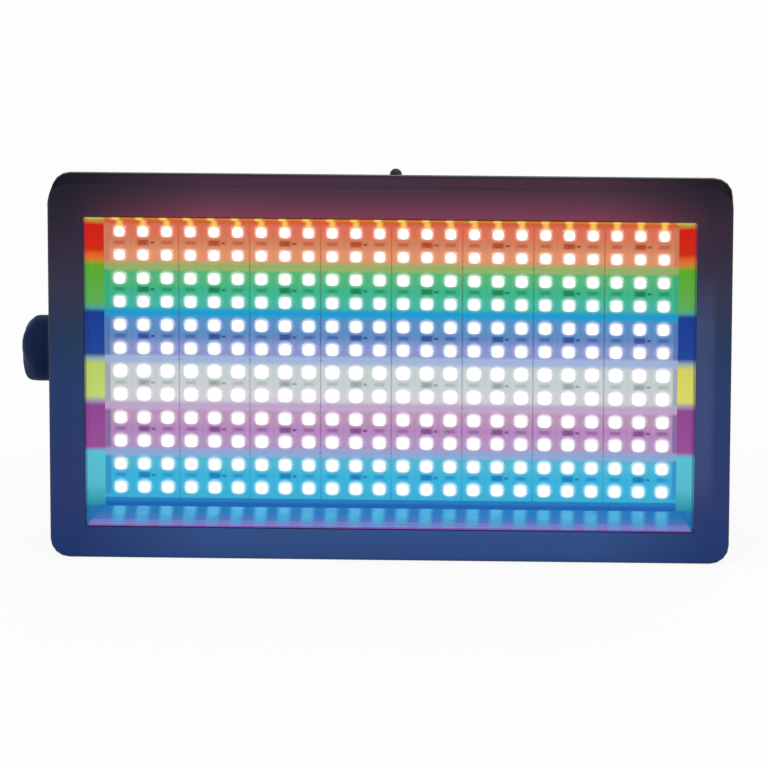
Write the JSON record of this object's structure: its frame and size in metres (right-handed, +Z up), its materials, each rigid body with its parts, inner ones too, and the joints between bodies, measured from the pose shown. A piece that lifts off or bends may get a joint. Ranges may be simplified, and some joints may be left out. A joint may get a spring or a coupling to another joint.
{
  "type": "led strobe light",
  "caption": "Rectangular LED strobe light with a wide black bezel, silvered light box behind a clear window, back panel with fan and sockets, and a U bracket with a clamping knob.",
  "frame": {"origin": "centre of the front shell's flat underside, on the surface that the light stands on", "axes": "+X to the right as seen from the front, +Y to the back, +Z up; the LED face looks along -Y"},
  "size_m": [0.3017, 0.1037, 0.162],
  "materials": {
    "front_housing": "fine moulded texture, black",
    "rear_housing": "fine moulded texture, black",
    "clear_window": "clear acrylic",
    "silvered_plastic": "vacuum metallised, softly reflecting",
    "led_band_red": "circuit board lit red",
    "led_band_green": "circuit board lit green",
    "led_band_blue": "circuit board lit blue",
    "led_band_white": "circuit board lit white",
    "led_band_magenta": "circuit board lit magenta",
    "led_band_cyan": "circuit board lit cyan",
    "plate_metal": "satin",
    "bright_screw": "zinc plated",
    "black_screw": "blackened",
    "black_steel": "black, semi-gloss",
    "bracket_paint": "powder coat, black",
    "knob_plastic": "moulded, black",
    "washer_rubber": "matte",
    "insert_brass": "turned",
    "display_body": "black",
    "display_lens": "dark red tinted",
    "button_plastic": "moulded",
    "circuit_board": "solder mask",
    "socket_plastic": "moulded, black",
    "socket_metal": "black die casting",
    "fan_plastic": "moulded, black",
    "lead_sheath": "sheathed"
  },
  "bodies": {
    "housing": {"front_shell": "front_housing", "window": "clear_window", "reflector": "silvered_plastic", "led_strip_1": "led_band_red", "led_strip_2": "led_band_green", "led_strip_3": "led_band_blue", "led_strip_4": "led_band_white", "led_strip_5": "led_band_magenta", "led_strip_6": "led_band_cyan", "led_plate": "plate_metal", "plate_screw_1": "bright_screw", "plate_screw_2": "bright_screw", "plate_screw_3": "bright_screw", "plate_screw_4": "bright_screw", "rear_shell": "rear_housing", "case_screw_1": "black_screw", "case_screw_2": "black_screw", "case_screw_3": "black_screw", "case_screw_4": "black_screw", "case_screw_5": "black_screw", "case_screw_6": "black_screw", "eye_bolt": "black_steel", "eye_nut": "bright_screw", "pivot_screw": "black_screw", "friction_washer_left": "washer_rubber", "friction_washer_right": "washer_rubber", "pivot_insert_left": "insert_brass", "pivot_insert_right": "insert_brass", "display_module": "display_body", "display_lens": "display_lens", "control_board": "circuit_board", "microphone": "plate_metal", "power_inlet": "socket_plastic", "inlet_screw_1": "black_screw", "inlet_screw_2": "black_screw", "dmx_in_socket": "socket_metal", "dmx_out_socket": "socket_metal", "dmx_screw_1": "black_screw", "dmx_screw_2": "black_screw", "dmx_screw_3": "black_screw", "dmx_screw_4": "black_screw", "fan_frame": "fan_plastic", "fan_screw_1": "black_screw", "fan_screw_2": "black_screw", "fan_screw_3": "black_screw", "fan_screw_4": "black_screw", "power_supply": "circuit_board", "driver_board": "circuit_board", "mains_lead": "lead_sheath", "power_lead": "lead_sheath"},
    "bracket": {"bracket": "bracket_paint"},
    "knob": {"knob": "knob_plastic", "knob_stud": "bright_screw"},
    "menu_button": {"menu_button": "button_plastic"},
    "down_button": {"down_button": "button_plastic"},
    "up_button": {"up_button": "button_plastic"},
    "enter_button": {"enter_button": "button_plastic"},
    "latch": {"dmx_latch": "bright_screw"},
    "rotor": {"fan_rotor": "fan_plastic"}
  },
  "joints": [
    {"name": "bracket_tilt", "type": "hinge", "parent": "housing", "child": "bracket", "pos_m": [0, 0.031, 0.081], "axis": [1, 0, 0], "range_deg": [-34.8, 145.1]},
    {"name": "knob_turn", "type": "hinge", "parent": "housing", "child": "knob", "pos_m": [-0.15, 0.031, 0.081], "axis": [-1, 0, 0], "range_deg": [0, 180]},
    {"name": "menu_press", "type": "slide", "parent": "housing", "child": "menu_button", "axis": [0, -1, 0], "range_m": [0, 0.0008], "stiffness_N_per_m": 400},
    {"name": "down_press", "type": "slide", "parent": "housing", "child": "down_button", "axis": [0, -1, 0], "range_m": [0, 0.0008], "stiffness_N_per_m": 400},
    {"name": "up_press", "type": "slide", "parent": "housing", "child": "up_button", "axis": [0, -1, 0], "range_m": [0, 0.0008], "stiffness_N_per_m": 400},
    {"name": "enter_press", "type": "slide", "parent": "housing", "child": "enter_button", "axis": [0, -1, 0], "range_m": [0, 0.0008], "stiffness_N_per_m": 400},
    {"name": "latch_press", "type": "slide", "parent": "housing", "child": "latch", "axis": [0, -1, 0], "range_m": [0, 0.0012], "stiffness_N_per_m": 400},
    {"name": "fan_spin", "type": "hinge", "parent": "housing", "child": "rotor", "pos_m": [-0.07505, 0.041, 0.09299], "axis": [0, 1, 0], "continuous": true}
  ]
}
